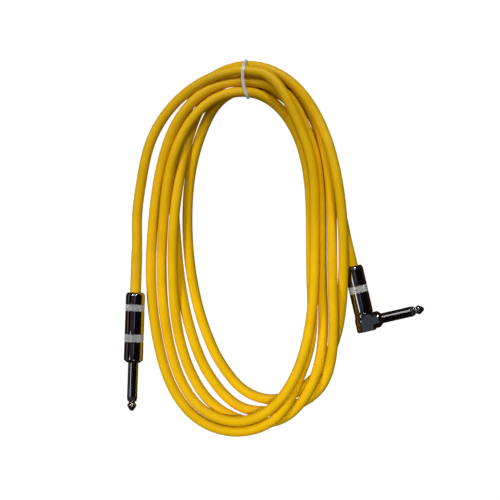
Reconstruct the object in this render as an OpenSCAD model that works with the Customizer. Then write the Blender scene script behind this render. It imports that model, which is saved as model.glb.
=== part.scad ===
// Instrument cable: a hank of round cable held by a tie, with a straight plug
// on one end and a right-angle plug on the other. It lies flat: +X right,
// +Y from the open end of the hank towards the tie, +Z up.

/* [Cable] */
// outside diameter of the cable
cable_d = 6; // [5.8:0.1:6]
// clear gap kept between passes that lie side by side
lay_gap = 0.5; // [0.5:0.05:0.6]
// diameter of the insulated core inside the cable
core_d = 2.4; // [1.8:0.1:2.6]
// diameter of the shield when it is twisted to a pigtail
pigtail_d = 1.2; // [0.8:0.1:1.2]

/* [Tie] */
// width of the tie along the cable
tie_w = 2; // [1.5:0.1:4]
// thickness of the tie
tie_t = 1.2; // [1:0.1:1.4]

/* [Plug shaft] */
// diameter of the plug's shaft, the quarter-inch size
shaft_d = 6.35; // [6.3:0.01:6.4]
// length of the tip in front of its ring
tip_l = 6.5; // [6:0.1:7]
// length of the ring that parts tip and sleeve
ring_l = 2.1; // [1.5:0.1:2.5]
// widest diameter of the tip
bulb_d = 5.9; // [5.6:0.1:6]
// diameter of the tip's waist, where a jack's spring catches
waist_d = 4; // [3.6:0.1:4.4]
// diameter of the rod behind the tip
rod_d = 1.8; // [1.5:0.1:2]
// diameter of the bush round the rod
bush_d = 3.4; // [3:0.1:3.6]

/* [Barrels] */
// outside diameter over the knurled bands
barrel_d = 12; // [12:0.1:12.4]
// length of the straight plug's barrel
straight_barrel_l = 42.2; // [41:0.1:44]
// length of the right-angle plug's barrel
angle_barrel_l = 30.2; // [29.6:0.1:31]
// length that the straight plug shows in front of its barrel
straight_reach = 30.8; // [29:0.1:32]
// how far the right-angle shaft's end stands from its barrel's axis
angle_reach = 36.8; // [35:0.1:38]
// clearance round the threaded neck and the liner
running_gap = 0.05; // [0.03:0.01:0.09]
// diameter over the threaded neck
neck_d = 9.6; // [9.4:0.1:9.8]
// length of the threaded neck
neck_l = 4; // [3.8:0.1:4.2]
// wall of the clear liner
liner_t = 0.6; // [0.4:0.1:0.7]

/* [Lug and relief] */
// thickness of the lugs' sheet metal
lug_t = 0.6; // [0.5:0.1:0.6]
// width of the ground lug's strap
strap_w = 3; // [2.4:0.1:3]
// outside diameter of the strain-relief sleeve
relief_d = 6.8; // [6.6:0.1:7]
// length of relief sleeve outside the barrel
relief_out = 26; // [24:0.5:28]

/* [Hidden] */
$fn = 48;
cable_r = cable_d / 2;
shaft_r = shaft_d / 2;
barrel_r = barrel_d / 2;
rod_r = rod_d / 2;
bush_r = bush_d / 2;
neck_r = neck_d / 2;
core_r = core_d / 2;
pigtail_r = pigtail_d / 2;
relief_r = relief_d / 2;
// a pass takes one pitch of room beside the next
pitch = cable_d + lay_gap;

// --- where the plugs lie: rear of each barrel, its turn, height of the axis
straight_rear = [-85.4, -35.2];
straight_turn = -1.9;
angle_rear = [48.7, -18.9];
angle_turn = 13;
axis_z = barrel_r;

// --- inside the barrels, measured from a barrel's rear towards the tip
band_sink = 0.08;
// rounding of a barrel's rear: across and along the barrel
rear_round = 1.6;
rear_round_l = 2.4;
front_chamfer = 1;
rear_wall = 2.5;
// room round the cable or its relief in a barrel's rear hole
rear_gap = 0.5;
// knurled bands, from a barrel's rear
straight_bands = [[7.1, 11.7], [25.6, 30.8]];
angle_bands = [[12.3, 17.2]];
thread_l = neck_l + 0.3;
barrel_wall = 0.75;
bore_r = barrel_r - barrel_wall;
liner_r = bore_r - running_gap;
liner_end_gap = 0.2;
flange_r = 5.1;
flange_t = 1;
flange_end_r = 3.7;
clamp_l = 5;
clamp_back = 1;
straight_pigtail_l = 7;
angle_pigtail_l = 6;
jacket_in = 20;
jacket_in_angle = 13;
relief_in = 9;
washer_t = 0.8;
// the washer stays clear of the ground lug's strap
washer_r = cable_r - 0.2;
lug_r = 2;
tongue_w = 2.4;
tongue_lap = 2;
// the core ends this far behind what it is joined to
straight_joint_back = 3;
angle_joint_back = 1;
lug_plate_r = 4.3;
bead_l = 1.4;
bead_w = 1.6;
ground_bead_l = 1.2;
slack = 0.05;
rivet_l = 0.6;

// --- right-angle elbow
elbow_l = 11.1;
elbow_axis = 5.2;
elbow_bore_r = 2.8;
elbow_floor = 2.6;
elbow_chamfer = 1.2;
// the back of the elbow swells towards its end
heel = 0.6;
heel_start = 4;
// milled flats: an arch beside the barrel, open towards the end
flat_y = 4.6;
arch_r = 5.1;
arch_shift = 2.9;
arch_drop = 1.1;
boss_r = elbow_axis - slack;
boss_l = 7.5;
collar_l = 2.6;
collar_end_r = 3.4;
stub_r = 3;
stub_start = 4;
block_r = 2.6;
block_l = 2;

// --- the hank: five turns round an oval, tie to tie
turns = 5;
steps = 18;
rings_per_turn = 24;
hank_sides = 6;
lead_sides = 12;
lead_rings_per_step = 3;
oval_top = [-15, 50];
oval_foot = [-21, -68];
tie_x = -17.5;
tie_reach = 44.5;
// slope of the cable where each lead runs on into the hank
first_slope = -8;
last_slope = 8;
// half pitches out from the bundle's middle at the tie, one a pass
slot = [2, -2, 0.1, 1.1, 3.1, -1.3];
// height of each pass at the tie, in pitches
slot_lift = [1.6, 1.1, 1, 0, 0.4, 0];
// how far each turn lies out from the oval's middle line, one row a turn
reach = [
    [42.3, 35, 36.7, 42, 43.6, 40.4, 38.5, 42, 46.3,
     45.6, 42.2, 43.4, 50.3, 51, 46.4, 41.6, 40],
    [34.4, 31.8, 33.6, 39.8, 42.2, 43.1, 41.8, 48.5, 52.8,
     52.2, 48.9, 50.1, 56.9, 57.4, 52.7, 48.4, 47],
    [43.2, 38.4, 40.1, 46.3, 48.7, 50.6, 50.2, 51.8, 45.6,
     38.7, 34.6, 36.2, 43.2, 44.4, 40.2, 39.9, 45.2],
    [47.8, 45.1, 46.8, 52.5, 54.9, 57, 55.5, 45.9, 37.6,
     28.6, 25.5, 27.5, 38.8, 44.4, 46.8, 46.7, 52.2],
    [51.1, 47.6, 50.2, 58.7, 61.4, 57.5, 48, 38.4, 25.5,
     17.6, 15.7, 17.5, 31.2, 36.5, 34, 32.9, 37.6]
];
// height of each turn over the ground, in pitches: how it rides over others
lift = [
    [2.15, 2, 1.8, 1.1, 1.15, 1.35, 2, 2.2, 1.25, 0.4, 0, 0, 0, 0.8, 1.15, 1.1, 1.5],
    [0.35, 0, 0, 0, 0.1, 0.25, 0.95, 1.85, 0.75, 0, 0, 0, 0, 0, 0.5, 1.1, 1.15],
    [1, 1.1, 0.9, 0.1, 0, 0.55, 1.3, 0.8, 0, 0, 0, 0, 0.8, 1.25, 0.5, 0, 0],
    [0, 0.2, 1.02, 1, 1.6, 1.6, 0.35, 0, 0, 0, 0, 0, 0, 0, 0, 0, 0],
    [1.1, 1.2, 2.05, 2.15, 1.3, 0, 0, 0, 0, 0, 0, 0, 0, 0, 0, 0, 0]
];
// the straight plug's lead, from its relief to the tie
straight_way = [
    [-84.5, 12, 3.6], [-81.8, 34, 3], [-76.4, 57.4, 3], [-64, 78.3, 5.5], [-41.4, 95.7, 12]
];
// the right-angle plug's lead: step round the oval and reach, on the ground
angle_way = [[1, 41.3], [2, 38.5], [3, 43], [4, 59.2]];
angle_dip = [16, 3.2];
angle_straight = 5;

// ---------- the way of the cable ----------

function mix(a, b, t) = a + (b - a) * t;

// centre that a step of the oval is measured from, and the direction it looks
function centre(i) =
    i <= 3 ? oval_top
    : i <= 6 ? mix(oval_top, oval_foot, (i - 3) / 3)
    : i <= 12 ? oval_foot
    : i <= 15 ? mix(oval_foot, oval_top, (i - 12) / 3)
    : oval_top;
function look(i) =
    i <= 3 ? 90 - 30 * i
    : i <= 6 ? 0
    : i <= 12 ? -30 * (i - 6)
    : i <= 15 ? -180
    : -180 - 30 * (i - 15);

function at(i, out, rise) = [
    centre(i).x + out * cos(look(i)),
    centre(i).y + out * sin(look(i)),
    cable_r + rise * pitch
];

function tie_point(pass) = [
    oval_top.x,
    oval_top.y + tie_reach + slot[pass] * pitch / 2,
    cable_r + tie_t + slot_lift[pass] * pitch
];

// a point behind a barrel, on its axis
function behind(rear, turn, u, z) = [rear.x - u * sin(turn), rear.y + u * cos(turn), z];

first_way = [cos(first_slope), sin(first_slope), 0];
last_way = [cos(last_slope), sin(last_slope), 0];

hank_way = [
    tie_point(0) + cable_d * first_way,
    for (t = [0:turns - 1]) each [
        if (t > 0) tie_point(t),
        for (i = [1:steps - 1]) at(i, reach[t][i - 1], lift[t][i - 1])
    ],
    tie_point(turns) - cable_d * last_way
];

// rings of one turn: three to two steps round the ends, one a step along the sides
function ring_step(j) =
    j <= 4 ? (1 + 2 * j) / 3
    : j <= 7 ? j - 1
    : j <= 16 ? 6 + (j - 7) * 2 / 3
    : j <= 19 ? j - 4
    : 15 + (j - 19) * 2 / 3;

// a smooth line through chosen points: the slopes are eased until it bends evenly
ease_rounds = 16;
function chords(p) = [for (i = [0:len(p) - 2]) norm(p[i + 1] - p[i])];
function eased(p, h, m, n) = n <= 0 ? m : eased(p, h, [
    for (i = [0:len(p) - 1])
        i == 0 || i == len(p) - 1 ? m[i]
        : (3 * (h[i] * (p[i] - p[i - 1]) / h[i - 1] + h[i - 1] * (p[i + 1] - p[i]) / h[i])
           - h[i] * m[i - 1] - h[i - 1] * m[i + 1]) / (2 * (h[i - 1] + h[i]))
], n - 1);
function slopes(p, first, last) = let (h = chords(p)) eased(p, h, [
    for (i = [0:len(p) - 1])
        i == 0 ? first
        : i == len(p) - 1 ? last
        : (p[i + 1] - p[i - 1]) / (h[i] + h[i - 1])
], ease_rounds);
function between(a, b, ma, mb, t) =
    (2 * t * t * t - 3 * t * t + 1) * a + (t * t * t - 2 * t * t + t) * ma
    + (3 * t * t - 2 * t * t * t) * b + (t * t * t - t * t) * mb;
function grounded(p) = [p.x, p.y, max(p.z, cable_r)];
function smooth(p, first, last, places) =
    let (h = chords(p), m = slopes(p, first, last), tiny = 0.001) [
        for (u = places)
            let (i = min(floor(u + tiny), len(p) - 2))
            grounded(between(p[i], p[i + 1], m[i] * h[i], m[i + 1] * h[i], u - i))
    ];
function even(count, per_step) = [for (k = [0:count * per_step]) k / per_step];

straight_back = [-sin(straight_turn), cos(straight_turn), 0];
angle_in = [sin(angle_turn), -cos(angle_turn), 0];

hank_path = concat(
    [tie_point(0)],
    smooth(hank_way, first_way, last_way, [
        0,
        for (t = [0:turns - 1], j = [0:rings_per_turn - 1]) steps * t + ring_step(j),
        steps * turns
    ]),
    [tie_point(turns)]
);
straight_path = concat(
    [behind(straight_rear, straight_turn, -jacket_in, axis_z)],
    smooth(concat([behind(straight_rear, straight_turn, relief_out, axis_z)], straight_way,
                  [tie_point(0)]),
           straight_back, first_way, even(len(straight_way) + 1, lead_rings_per_step))
);
angle_path = concat(
    smooth(concat([tie_point(turns)],
                  [for (w = angle_way) at(w[0], w[1], 0)],
                  [behind(angle_rear, angle_turn, angle_dip[0], angle_dip[1]),
                   behind(angle_rear, angle_turn, angle_straight, axis_z)]),
           last_way, angle_in, even(len(angle_way) + 2, lead_rings_per_step)),
    [behind(angle_rear, angle_turn, -jacket_in_angle, axis_z)]
);

function unit(v) = v / norm(v);
function ring(c, way, r, sides) =
    let (side = unit(cross(way, [0, 0, 1])), up = cross(side, way))
    [for (k = [0:sides - 1]) let (a = 90 + 360 * k / sides) c + r * (cos(a) * side + sin(a) * up)];

// one unbroken tube along a line of points, made of triangles
module tube(path, first, last, r, sides) {
    n = len(path);
    way = [
        for (i = [0:n - 1])
            i == 0 ? first
            : i == n - 1 ? last
            : unit(unit(path[i + 1] - path[i]) + unit(path[i] - path[i - 1]))
    ];
    corners = [for (i = [0:n - 1]) each ring(path[i], way[i], r, sides)];
    walls = [
        for (i = [0:n - 2], k = [0:sides - 1])
            let (a = i * sides + k, b = i * sides + (k + 1) % sides) each
            [[a, b, a + sides], [b, b + sides, a + sides]]
    ];
    caps = [
        for (k = [1:sides - 2]) each [
            [0, k + 1, k],
            [(n - 1) * sides, (n - 1) * sides + k, (n - 1) * sides + k + 1]
        ]
    ];
    polyhedron(corners, concat(walls, caps));
}

function total(v, i = 0) = i == len(v) ? 0 : v[i] + total(v, i + 1);
function split(p, n) = [for (i = [0:len(p) - 2], k = [0:n - 1]) mix(p[i], p[i + 1], k / n)];
gap_split = 4;
gap_skip = 5;
function least_gap(p) =
    let (q = split(p, gap_split), s = gap_split * gap_skip)
    min([for (i = [0:len(q) - s - 1], j = [i + s:len(q) - 1]) norm(q[i] - q[j])]) - cable_d;

// ---------- turned and bent parts, drawn along +Z from a barrel's rear ----------

module at_straight() {
    translate([straight_rear.x, straight_rear.y, axis_z])
        rotate([0, 0, straight_turn]) rotate([90, 0, 0]) children();
}

module at_angle() {
    translate([angle_rear.x, angle_rear.y, axis_z])
        rotate([0, 0, angle_turn]) rotate([90, 0, 0]) children();
}

// the right-angle shaft runs along +X, so this turns +Z onto it
module at_elbow() {
    translate([0, 0, angle_barrel_l + elbow_axis]) rotate([0, 90, 0]) children();
}

module pipe(outer, inner, z0, z1) {
    over = 1;
    difference() {
        translate([0, 0, z0]) cylinder(r = outer, h = z1 - z0);
        translate([0, 0, z0 - over]) cylinder(r = inner, h = z1 - z0 + 2 * over);
    }
}

module barrel(length, hole_r, bands) {
    corner = [for (a = [0:15:90]) [
        barrel_r - band_sink - rear_round + rear_round * sin(a),
        rear_round_l - rear_round_l * cos(a)
    ]];
    mouth_wall = barrel_r - band_sink - neck_r - running_gap;
    chamfer = min(front_chamfer, 0.7 * mouth_wall);
    rotate_extrude() polygon(concat(
        [[hole_r, 0]],
        corner,
        [for (b = bands) each [
            [barrel_r - band_sink, b[0]], [barrel_r, b[0]],
            [barrel_r, b[1]], [barrel_r - band_sink, b[1]]
        ]],
        [
            [barrel_r - band_sink, length - chamfer],
            [barrel_r - band_sink - chamfer, length],
            [neck_r + running_gap, length],
            [neck_r + running_gap, length - thread_l],
            [bore_r, length - thread_l],
            [bore_r, rear_wall],
            [hole_r, rear_wall]
        ]
    ));
}

module liner(length) {
    pipe(liner_r, liner_r - liner_t, rear_wall + liner_end_gap, length - thread_l - liner_end_gap);
}

// tip and rod in one; the tip's end is at z
module tip_contact(z, rod_end) {
    waist_at = 5.6;
    bulb_at = 3.2;
    nose_r = 1.2;
    nose_l = 0.7;
    shoulder_r = 3;
    rotate_extrude() polygon([
        [0, rod_end], [rod_r, rod_end], [rod_r, z - tip_l], [shoulder_r, z - tip_l],
        [waist_d / 2, z - waist_at], [bulb_d / 2, z - bulb_at - 0.2], [bulb_d / 2, z - bulb_at],
        [nose_r, z - nose_l / 2], [nose_r / 2, z - 0.08], [0, z]
    ]);
}

module tip_ring(z) {
    pipe(shaft_r, rod_r, z - tip_l - ring_l, z - tip_l);
}

// ring plate, strap and clamp of one bent ground lug
module ground_lug(plate_z, clamp_z, hole_r) {
    union() {
        difference() {
            union() {
                pipe(lug_plate_r, hole_r, plate_z, plate_z + lug_t);
                translate([-strap_w / 2, -cable_r - lug_t, clamp_z])
                    cube([strap_w, lug_t, plate_z + lug_t - clamp_z]);
            }
            translate([0, 0, clamp_z - 1]) cylinder(r = cable_r, h = clamp_l + 1);
        }
        pipe(cable_r + lug_t, cable_r, clamp_z, clamp_z + clamp_l);
    }
}

module pigtail(z0, z1) {
    translate([0, -cable_r + pigtail_r, z0]) cylinder(r = pigtail_r, h = z1 - z0);
}

module bead(y0, y1, z0, length, w) {
    translate([-w / 2, y0, z0]) cube([w, y1 - y0, length]);
}

// ---------- cable and tie ----------

module cable_hank() {
    echo(least_gap_mm = least_gap(hank_path));
    echo(cable_length_mm = total(chords(straight_path)) + total(chords(hank_path))
                           + total(chords(angle_path)));
    color([0.93, 0.76, 0.05]) tube(hank_path, first_way, last_way, cable_r, hank_sides);
}

module straight_lead() {
    color([0.93, 0.76, 0.05]) tube(straight_path, straight_back, first_way, cable_r, lead_sides);
}

module angle_lead() {
    color([0.93, 0.76, 0.05]) tube(angle_path, last_way, angle_in, cable_r, lead_sides);
}

// closed band pulled round the six passes
module tie() {
    color([0.93, 0.95, 0.98]) translate([tie_x - tie_w / 2, 0, 0])
        rotate([90, 0, 90]) linear_extrude(tie_w) difference() {
            offset(r = tie_t) bundle();
            bundle();
        }
}

module bundle() {
    hull() for (pass = [0:turns]) let (p = tie_point(pass)) translate([p.y, p.z])
        circle(r = cable_r, $fn = 32);
}

// ---------- straight plug ----------

straight_front = straight_barrel_l + slack;
straight_tip_z = straight_barrel_l + straight_reach;
straight_neck = straight_front - neck_l;
straight_rivet = straight_neck - lug_t - washer_t - lug_t;
straight_joint = straight_rivet - straight_joint_back;

module straight_sleeve() {
    color([0.8, 0.81, 0.83]) at_straight() difference() {
        union() {
            translate([0, 0, straight_neck]) cylinder(r = neck_r, h = neck_l);
            translate([0, 0, straight_front]) cylinder(r1 = flange_r, r2 = flange_end_r, h = flange_t);
            translate([0, 0, straight_front])
                cylinder(r = shaft_r, h = straight_reach - tip_l - ring_l - slack);
        }
        translate([0, 0, straight_neck - 1]) cylinder(r = bush_r, h = straight_tip_z);
    }
}

module straight_tip() {
    color([0.8, 0.81, 0.83]) at_straight() tip_contact(straight_tip_z, straight_rivet - rivet_l);
}

module straight_tip_ring() {
    color([0.05, 0.05, 0.05]) at_straight() tip_ring(straight_tip_z);
}

module straight_bush() {
    color([0.1, 0.1, 0.1]) at_straight()
        pipe(bush_r, rod_r, straight_neck - lug_t, straight_tip_z - tip_l - ring_l);
}

module straight_washer() {
    color([0.1, 0.1, 0.1]) at_straight()
        pipe(washer_r, rod_r, straight_neck - lug_t - washer_t, straight_neck - lug_t);
}

module straight_tip_lug() {
    color([0.78, 0.74, 0.6]) at_straight() union() {
        pipe(lug_r, rod_r, straight_rivet, straight_rivet + lug_t);
        translate([-tongue_w / 2, core_r, straight_joint - tongue_lap])
            cube([tongue_w, lug_t, straight_rivet + lug_t - straight_joint + tongue_lap]);
    }
}

module straight_ground_lug() {
    color([0.78, 0.74, 0.6]) at_straight()
        ground_lug(straight_neck - lug_t, jacket_in - clamp_l - clamp_back, bush_r);
}

module straight_relief() {
    color([0.95, 0.8, 0.1]) at_straight() pipe(relief_r, cable_r, -relief_out, relief_in);
}

module straight_core() {
    color([0.85, 0.85, 0.85]) at_straight() translate([0, 0, jacket_in])
        cylinder(r = core_r, h = straight_joint - jacket_in);
}

module straight_shield() {
    color([0.72, 0.45, 0.25]) at_straight() pigtail(jacket_in, jacket_in + straight_pigtail_l);
}

module straight_tip_solder() {
    color([0.7, 0.7, 0.72]) at_straight() bead(core_r - bead_l, core_r, straight_joint, bead_l, bead_w);
}

module straight_ground_solder() {
    color([0.7, 0.7, 0.72]) at_straight()
        bead(-cable_r, -cable_r + pigtail_d, jacket_in + straight_pigtail_l, ground_bead_l, pigtail_d);
}

module straight_liner() {
    color([0.85, 0.87, 0.9]) at_straight() liner(straight_barrel_l);
}

module straight_barrel() {
    color([0.17, 0.17, 0.19]) at_straight()
        barrel(straight_barrel_l, relief_r + rear_gap, straight_bands);
}

// ---------- right-angle plug ----------

angle_front = angle_barrel_l + slack;
angle_neck = angle_front - neck_l;
angle_joint = angle_neck - angle_joint_back;
lug_x = stub_start - block_l - lug_t;

module angle_body() {
    r = barrel_r - band_sink;
    color([0.8, 0.81, 0.83]) at_angle() difference() {
        union() {
            translate([0, 0, angle_neck]) cylinder(r = neck_r, h = neck_l);
            translate([0, 0, angle_front]) hull() {
                cylinder(r = r, h = elbow_l - elbow_chamfer);
                cylinder(r = r - elbow_chamfer, h = elbow_l);
                translate([-heel, 0, heel_start])
                    cylinder(r = r, h = elbow_l - elbow_chamfer - heel_start);
            }
            at_elbow() cylinder(r = boss_r, h = boss_l);
        }
        translate([0, 0, angle_neck - 1])
            cylinder(r = elbow_bore_r, h = neck_l + 1 + elbow_l - elbow_floor);
        at_elbow() cylinder(r = stub_r, h = boss_l + 1);
        flats();
    }
}

// what is milled away above and below; it runs on over the collar
module flats() {
    deep = barrel_r;
    wide = 4 * barrel_r;
    for (side = [0, 1]) mirror([0, side, 0])
        translate([arch_shift, flat_y, angle_barrel_l + elbow_axis + arch_drop])
            rotate([-90, 0, 0]) union() {
                cylinder(r = arch_r, h = deep);
                translate([-wide / 2, -elbow_l, 0]) cube([wide, elbow_l, deep]);
            }
}

module angle_sleeve() {
    color([0.8, 0.81, 0.83]) at_angle() difference() {
        at_elbow() union() {
            translate([0, 0, stub_start]) cylinder(r = stub_r, h = boss_l - stub_start);
            translate([0, 0, boss_l]) cylinder(r1 = boss_r, r2 = collar_end_r, h = collar_l);
            translate([0, 0, boss_l + collar_l])
                cylinder(r = shaft_r, h = angle_reach - tip_l - ring_l - boss_l - collar_l);
        }
        at_elbow() translate([0, 0, stub_start - 1]) cylinder(r = bush_r, h = angle_reach);
        flats();
    }
}

module angle_tip() {
    color([0.8, 0.81, 0.83]) at_angle() at_elbow() tip_contact(angle_reach, lug_x - rivet_l);
}

module angle_tip_ring() {
    color([0.05, 0.05, 0.05]) at_angle() at_elbow() tip_ring(angle_reach);
}

module angle_bush() {
    color([0.1, 0.1, 0.1]) at_angle() at_elbow()
        pipe(bush_r, rod_r, stub_start, angle_reach - tip_l - ring_l);
}

module angle_block() {
    color([0.1, 0.1, 0.1]) at_angle() at_elbow()
        pipe(block_r, rod_r, stub_start - block_l, stub_start);
}

module angle_tip_lug() {
    color([0.78, 0.74, 0.6]) at_angle() union() {
        at_elbow() pipe(lug_r, rod_r, lug_x, lug_x + lug_t);
        translate([lug_x, -tongue_w / 2, angle_joint - tongue_lap])
            cube([lug_t, tongue_w, angle_barrel_l + elbow_axis - rod_r - angle_joint + tongue_lap]);
    }
}

module angle_ground_lug() {
    color([0.78, 0.74, 0.6]) at_angle() rotate([0, 0, -90])
        ground_lug(angle_neck - lug_t, jacket_in_angle - clamp_l - clamp_back, cable_r);
}

module angle_core() {
    color([0.85, 0.85, 0.85]) at_angle() translate([lug_x - core_r, 0, jacket_in_angle])
        cylinder(r = core_r, h = angle_joint - jacket_in_angle);
}

module angle_shield() {
    color([0.72, 0.45, 0.25]) at_angle() rotate([0, 0, -90])
        pigtail(jacket_in_angle, jacket_in_angle + angle_pigtail_l);
}

module angle_tip_solder() {
    color([0.7, 0.7, 0.72]) at_angle() rotate([0, 0, -90])
        bead(lug_x - bead_l, lug_x, angle_joint, bead_l, bead_w);
}

module angle_ground_solder() {
    color([0.7, 0.7, 0.72]) at_angle() rotate([0, 0, -90])
        bead(-cable_r, -cable_r + pigtail_d, jacket_in_angle + angle_pigtail_l, ground_bead_l,
             pigtail_d);
}

module angle_liner() {
    color([0.85, 0.87, 0.9]) at_angle() liner(angle_barrel_l);
}

module angle_barrel() {
    color([0.17, 0.17, 0.19]) at_angle()
        barrel(angle_barrel_l, cable_r + rear_gap, angle_bands);
}

cable_hank();
straight_lead();
angle_lead();
tie();
straight_sleeve();
straight_tip();
straight_tip_ring();
straight_bush();
straight_washer();
straight_tip_lug();
straight_ground_lug();
straight_relief();
straight_core();
straight_shield();
straight_tip_solder();
straight_ground_solder();
straight_liner();
straight_barrel();
angle_body();
angle_sleeve();
angle_tip();
angle_tip_ring();
angle_bush();
angle_block();
angle_tip_lug();
angle_ground_lug();
angle_core();
angle_shield();
angle_tip_solder();
angle_ground_solder();
angle_liner();
angle_barrel();
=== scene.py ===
import math

import bmesh
import bpy
from mathutils import Matrix, Vector


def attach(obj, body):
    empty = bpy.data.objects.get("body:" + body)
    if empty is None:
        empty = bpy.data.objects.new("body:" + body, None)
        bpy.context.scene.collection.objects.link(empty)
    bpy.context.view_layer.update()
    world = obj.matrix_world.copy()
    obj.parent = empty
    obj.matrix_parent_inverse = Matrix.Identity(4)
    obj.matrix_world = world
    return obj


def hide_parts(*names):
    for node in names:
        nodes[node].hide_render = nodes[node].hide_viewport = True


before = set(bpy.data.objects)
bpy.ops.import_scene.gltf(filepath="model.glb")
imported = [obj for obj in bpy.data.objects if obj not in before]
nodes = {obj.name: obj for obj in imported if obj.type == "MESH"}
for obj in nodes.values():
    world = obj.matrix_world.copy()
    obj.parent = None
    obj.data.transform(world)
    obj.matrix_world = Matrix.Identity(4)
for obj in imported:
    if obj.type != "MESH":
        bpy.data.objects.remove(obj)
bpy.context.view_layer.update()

mm = 0.001  # one millimetre, in metres
scene = bpy.context.scene
print("frame loaded:", len(nodes), "nodes")

# camera, straight above the cable
camera = {"middle": (-0.0148, -0.00895), "height": 1.7199, "lens": 200, "sensor": 36}
cameraData = bpy.data.cameras.new("camera")
cameraData.lens = camera["lens"]
cameraData.sensor_width = camera["sensor"]
cameraObject = bpy.data.objects.new("camera", cameraData)
cameraObject.location = (*camera["middle"], camera["height"])
scene.collection.objects.link(cameraObject)
scene.camera = cameraObject
print("camera placed")


# the way of the cable, in mm, by the same rule and points as the part's source
way = {
    "radius": 3, "pitch": 6.5, "turns": 5, "steps": 18, "density": 12, "easeRounds": 16,
    "ovalTop": (-15, 50), "ovalFoot": (-21, -68),
    "tieReach": 44.5, "tieThickness": 1.2, "firstSlope": -8, "lastSlope": 8,
    "slot": [2, -2, 0.1, 1.1, 3.1, -1.3],
    "slotLift": [1.6, 1.1, 1, 0, 0.4, 0],
    "reach": [
        [42.3, 35, 36.7, 42, 43.6, 40.4, 38.5, 42, 46.3,
         45.6, 42.2, 43.4, 50.3, 51, 46.4, 41.6, 40],
        [34.4, 31.8, 33.6, 39.8, 42.2, 43.1, 41.8, 48.5, 52.8,
         52.2, 48.9, 50.1, 56.9, 57.4, 52.7, 48.4, 47],
        [43.2, 38.4, 40.1, 46.3, 48.7, 50.6, 50.2, 51.8, 45.6,
         38.7, 34.6, 36.2, 43.2, 44.4, 40.2, 39.9, 45.2],
        [47.8, 45.1, 46.8, 52.5, 54.9, 57, 55.5, 45.9, 37.6,
         28.6, 25.5, 27.5, 38.8, 44.4, 46.8, 46.7, 52.2],
        [51.1, 47.6, 50.2, 58.7, 61.4, 57.5, 48, 38.4, 25.5,
         17.6, 15.7, 17.5, 31.2, 36.5, 34, 32.9, 37.6],
    ],
    "lift": [
        [2.15, 2, 1.8, 1.1, 1.15, 1.35, 2, 2.2, 1.25, 0.4, 0, 0, 0, 0.8, 1.15, 1.1, 1.5],
        [0.35, 0, 0, 0, 0.1, 0.25, 0.95, 1.85, 0.75, 0, 0, 0, 0, 0, 0.5, 1.1, 1.15],
        [1, 1.1, 0.9, 0.1, 0, 0.55, 1.3, 0.8, 0, 0, 0, 0, 0.8, 1.25, 0.5, 0, 0],
        [0, 0.2, 1.02, 1, 1.6, 1.6, 0.35, 0, 0, 0, 0, 0, 0, 0, 0, 0, 0],
        [1.1, 1.2, 2.05, 2.15, 1.3, 0, 0, 0, 0, 0, 0, 0, 0, 0, 0, 0, 0],
    ],
    "straightRear": (-85.4, -35.2), "straightTurn": -1.9,
    "angleRear": (48.7, -18.9), "angleTurn": 13, "axisHeight": 6,
    "jacketInStraight": 20, "jacketInAngle": 13, "reliefOut": 26,
    "straightWay": [(-84.5, 12, 3.6), (-81.8, 34, 3), (-76.4, 57.4, 3), (-64, 78.3, 5.5),
                    (-41.4, 95.7, 12)],
    "angleWay": [(1, 41.3), (2, 38.5), (3, 43), (4, 59.2)],
    "angleDip": (16, 3.2), "angleStraight": 5,
}


def direction(degrees):
    return Vector((math.cos(math.radians(degrees)), math.sin(math.radians(degrees)), 0))


def ovalPoint(step, out, rise):
    # a step is 30 degrees round either end of the oval, or a third of its straight side
    top, foot = Vector((*way["ovalTop"], 0)), Vector((*way["ovalFoot"], 0))
    if step <= 3:
        middle, angle = top, 90 - 30 * step
    elif step <= 6:
        middle, angle = top.lerp(foot, (step - 3) / 3), 0
    elif step <= 12:
        middle, angle = foot, -30 * (step - 6)
    elif step <= 15:
        middle, angle = foot.lerp(top, (step - 12) / 3), -180
    else:
        middle, angle = top, -180 - 30 * (step - 15)
    height = Vector((0, 0, way["radius"] + rise * way["pitch"]))
    return middle + out * direction(angle) + height


def tiePoint(lap):
    return Vector((
        way["ovalTop"][0],
        way["ovalTop"][1] + way["tieReach"] + way["slot"][lap] * way["pitch"] / 2,
        way["radius"] + way["tieThickness"] + way["slotLift"][lap] * way["pitch"],
    ))


def behind(rear, turn, distance, height):
    back = Vector((-math.sin(math.radians(turn)), math.cos(math.radians(turn)), 0))
    return Vector((*rear, height)) + distance * back


def smoothLine(points, first, last, density):
    # slopes are eased until the line bends evenly, then it is filled in between
    chord = [(b - a).length for a, b in zip(points, points[1:])]
    count = len(points)
    slope = [first] + [
        (points[i + 1] - points[i - 1]) / (chord[i] + chord[i - 1]) for i in range(1, count - 1)
    ] + [last]
    for _ in range(way["easeRounds"]):
        slope = [first] + [
            (3 * (chord[i] * (points[i] - points[i - 1]) / chord[i - 1]
                  + chord[i - 1] * (points[i + 1] - points[i]) / chord[i])
             - chord[i] * slope[i - 1] - chord[i - 1] * slope[i + 1])
            / (2 * (chord[i - 1] + chord[i])) for i in range(1, count - 1)
        ] + [last]
    line = []
    for i in range(count - 1):
        a, b = points[i], points[i + 1]
        fromA, fromB = slope[i] * chord[i], slope[i + 1] * chord[i]
        for k in range(density + (i == count - 2)):
            t = k / density
            p = ((2 * t ** 3 - 3 * t ** 2 + 1) * a + (t ** 3 - 2 * t ** 2 + t) * fromA
                 + (3 * t ** 2 - 2 * t ** 3) * b + (t ** 3 - t ** 2) * fromB)
            p.z = max(p.z, way["radius"])
            line.append(p)
    return line


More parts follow.
